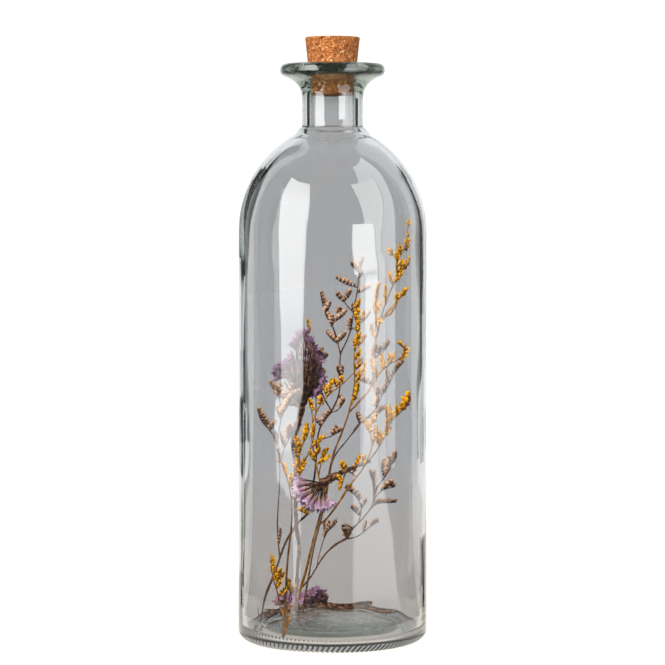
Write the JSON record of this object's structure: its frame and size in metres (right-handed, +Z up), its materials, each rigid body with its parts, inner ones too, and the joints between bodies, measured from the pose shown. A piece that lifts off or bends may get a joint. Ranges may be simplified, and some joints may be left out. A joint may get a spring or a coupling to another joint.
{
  "type": "dried flowers in glass bottle",
  "caption": "Tall smoky glass bottle with a flared mouth and a cork, holding golden and beige dried statice sprays with papery purple winged statice.",
  "frame": {"origin": "middle of the foot, on the surface that the bottle stands on", "axes": "+Z up the bottle through the cork, +X to the right seen from the front, +Y away from the front"},
  "size_m": [0.0956, 0.0956, 0.3034],
  "materials": {
    "glass": "smooth pressed glass, smoky grey with a slight green tint at the rim and heel, wavy inside",
    "cork": "pressed cork crumb, matt, with dark specks and a few pale chips",
    "golden": "dried statice, dry matt, golden yellow buds on tan stems",
    "beige": "dried statice, dry matt, beige papery buds on brown stems",
    "brown": "dried winged stem and bracts, dry matt dark brown",
    "purple": "dry papery pleated calyxes, muted purple",
    "lilac": "dry papery pleated frill, pale lilac"
  },
  "bodies": {
    "root": {"bottle": "glass", "cork": "cork", "golden_tall": "golden", "golden_short": "golden", "beige_left": "beige", "beige_back": "beige", "beige_right": "beige", "upright_stem": "brown", "upright_head": "purple", "hanging_stem": "brown", "hanging_head": "lilac", "floor_left_stem": "brown", "floor_left_head": "purple", "floor_right_stem": "brown", "floor_right_head": "purple", "scrap": "brown"}
  },
  "joints": []
}
